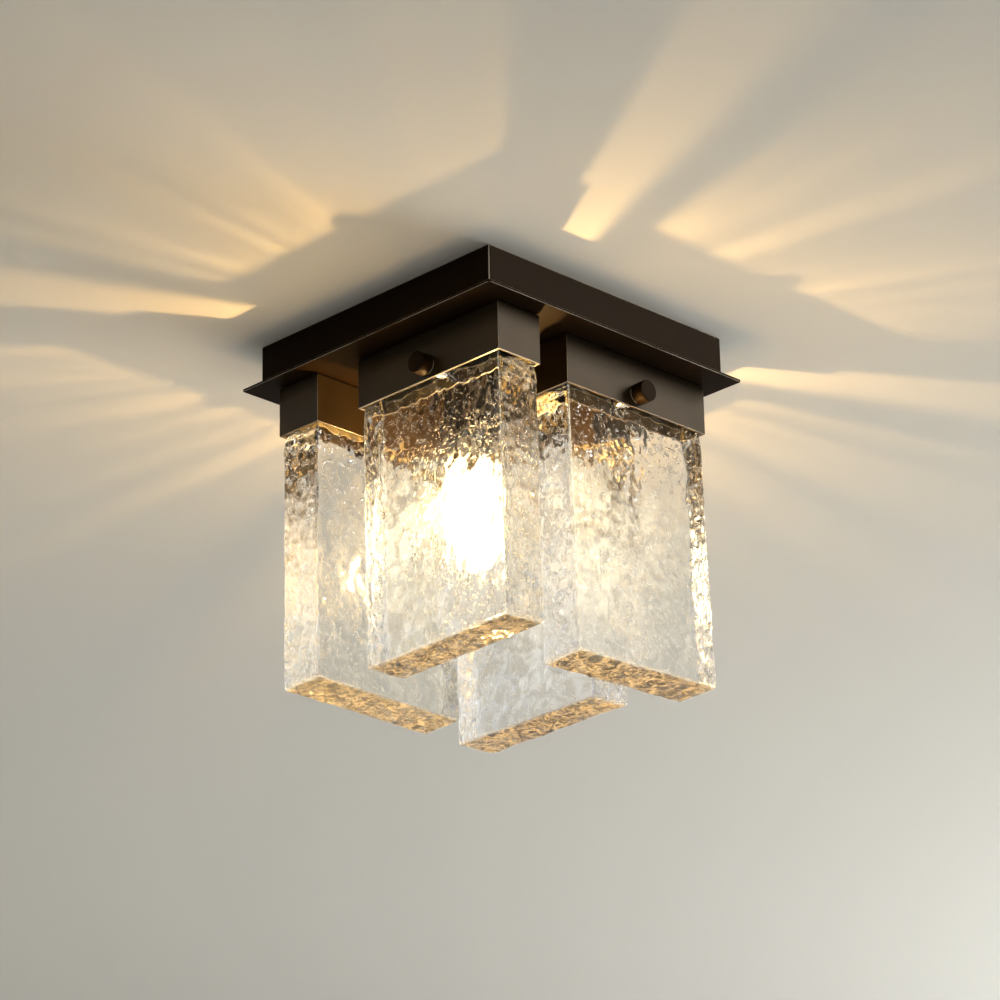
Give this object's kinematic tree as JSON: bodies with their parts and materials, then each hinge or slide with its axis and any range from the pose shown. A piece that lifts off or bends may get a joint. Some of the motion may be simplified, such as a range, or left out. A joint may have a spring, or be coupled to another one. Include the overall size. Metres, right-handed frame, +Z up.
{
  "type": "ceiling light",
  "caption": "Flush ceiling light with a square dark canopy and thick rippled glass blocks hung from metal holders in a pinwheel round a candle bulb.",
  "frame": {"origin": "centre of the ceiling face, on the lamp's upright axis, midway between the ceiling screw slots", "axes": "+Z up into the ceiling, X and Y along the plate's sides, the light hangs towards -Z"},
  "size_m": [0.2, 0.2, 0.2115],
  "materials": {
    "black_metal": "satin black-brown sprayed steel",
    "cast_glass": "clear cast glass, rippled and seeded",
    "silicone": "translucent silicone",
    "nylon": "matte black nylon",
    "zinc_steel": "bright zinc plate",
    "brass": "plain turned brass",
    "nickel": "nickel plated cap",
    "socket_plastic": "matte black moulded plastic",
    "white_plastic": "white moulded plastic",
    "insulator_glass": "black cap insulator",
    "opal_glass": "lit warm opal glass",
    "lead_brown": "brown wire insulation",
    "lead_blue": "blue wire insulation",
    "lead_green": "green wire insulation"
  },
  "bodies": {
    "canopy": {"glass_holder_left": "black_metal", "glass_block_left": "cast_glass", "glass_pad_left": "silicone", "glass_holder_front": "black_metal", "glass_block_front": "cast_glass", "glass_pad_front": "silicone", "glass_holder_right": "black_metal", "glass_block_right": "cast_glass", "glass_pad_right": "silicone", "glass_holder_rear": "black_metal", "glass_block_rear": "cast_glass", "glass_pad_rear": "silicone", "screw_sleeves": "silicone", "clamp_nuts": "zinc_steel", "holder_studs": "zinc_steel", "holder_nuts": "zinc_steel", "canopy_pan": "black_metal", "base_plate": "black_metal", "bracket": "zinc_steel", "hanger_studs": "zinc_steel", "hanger_nuts": "zinc_steel", "cap_nuts": "black_metal", "lamp_cup": "black_metal", "lamp_nipple": "zinc_steel", "tooth_washer": "zinc_steel", "nipple_nut": "zinc_steel", "socket_cap": "socket_plastic", "socket_skirt": "socket_plastic", "socket_insert": "white_plastic", "socket_terminals": "brass", "socket_shell": "brass", "socket_contact": "brass", "terminal_block": "white_plastic", "terminal_screws": "zinc_steel", "live_lead": "lead_brown", "neutral_lead": "lead_blue", "earth_lead": "lead_green", "earth_ring": "zinc_steel", "earth_screw": "brass"},
    "bulb_screw_cap": {"bulb_cap": "nickel", "bulb_insulator": "insulator_glass", "bulb_tip": "nickel"},
    "bulb": {"bulb_collar": "white_plastic", "bulb_globe": "opal_glass", "light_source": "white_plastic"},
    "washer_left": {"knob_washer_left": "nylon"},
    "knob_left": {"knob_screw_left": "black_metal"},
    "washer_front": {"knob_washer_front": "nylon"},
    "knob_front": {"knob_screw_front": "black_metal"},
    "washer_right": {"knob_washer_right": "nylon"},
    "knob_right": {"knob_screw_right": "black_metal"},
    "washer_rear": {"knob_washer_rear": "nylon"},
    "knob_rear": {"knob_screw_rear": "black_metal"}
  },
  "joints": [
    {"name": "bulb_travel", "type": "slide", "parent": "canopy", "child": "bulb_screw_cap", "axis": [0, 0, -1], "range_m": [0, 0.01411]},
    {"name": "bulb_turn", "type": "hinge", "parent": "bulb_screw_cap", "child": "bulb", "pos_m": [0, 0, -0.067], "axis": [0, 0, -1], "range_deg": [0, 1800]},
    {"name": "knob_travel_left", "type": "slide", "parent": "canopy", "child": "washer_left", "axis": [-1, 0, 0], "range_m": [0, 0.00521]},
    {"name": "knob_turn_left", "type": "hinge", "parent": "washer_left", "child": "knob_left", "pos_m": [-0.082, -0.0325, -0.049], "axis": [-1, 0, 0], "range_deg": [0, 2340]},
    {"name": "knob_travel_front", "type": "slide", "parent": "canopy", "child": "washer_front", "axis": [0, -1, 0], "range_m": [0, 0.00521]},
    {"name": "knob_turn_front", "type": "hinge", "parent": "washer_front", "child": "knob_front", "pos_m": [0.0325, -0.082, -0.049], "axis": [0, -1, 0], "range_deg": [0, 2340]},
    {"name": "knob_travel_right", "type": "slide", "parent": "canopy", "child": "washer_right", "axis": [1, 0, 0], "range_m": [0, 0.00521]},
    {"name": "knob_turn_right", "type": "hinge", "parent": "washer_right", "child": "knob_right", "pos_m": [0.082, 0.0325, -0.049], "axis": [1, 0, 0], "range_deg": [0, 2340]},
    {"name": "knob_travel_rear", "type": "slide", "parent": "canopy", "child": "washer_rear", "axis": [0, 1, 0], "range_m": [0, 0.00521]},
    {"name": "knob_turn_rear", "type": "hinge", "parent": "washer_rear", "child": "knob_rear", "pos_m": [-0.0325, 0.082, -0.049], "axis": [0, 1, 0], "range_deg": [0, 2340]}
  ],
  "couplings": [
    {"joint": "bulb_travel", "follows": "bulb_turn", "m_per_rad": 0.00044882},
    {"joint": "knob_travel_left", "follows": "knob_turn_left", "m_per_rad": 0.00012732},
    {"joint": "knob_travel_front", "follows": "knob_turn_front", "m_per_rad": 0.00012732},
    {"joint": "knob_travel_right", "follows": "knob_turn_right", "m_per_rad": 0.00012732},
    {"joint": "knob_travel_rear", "follows": "knob_turn_rear", "m_per_rad": 0.00012732}
  ]
}
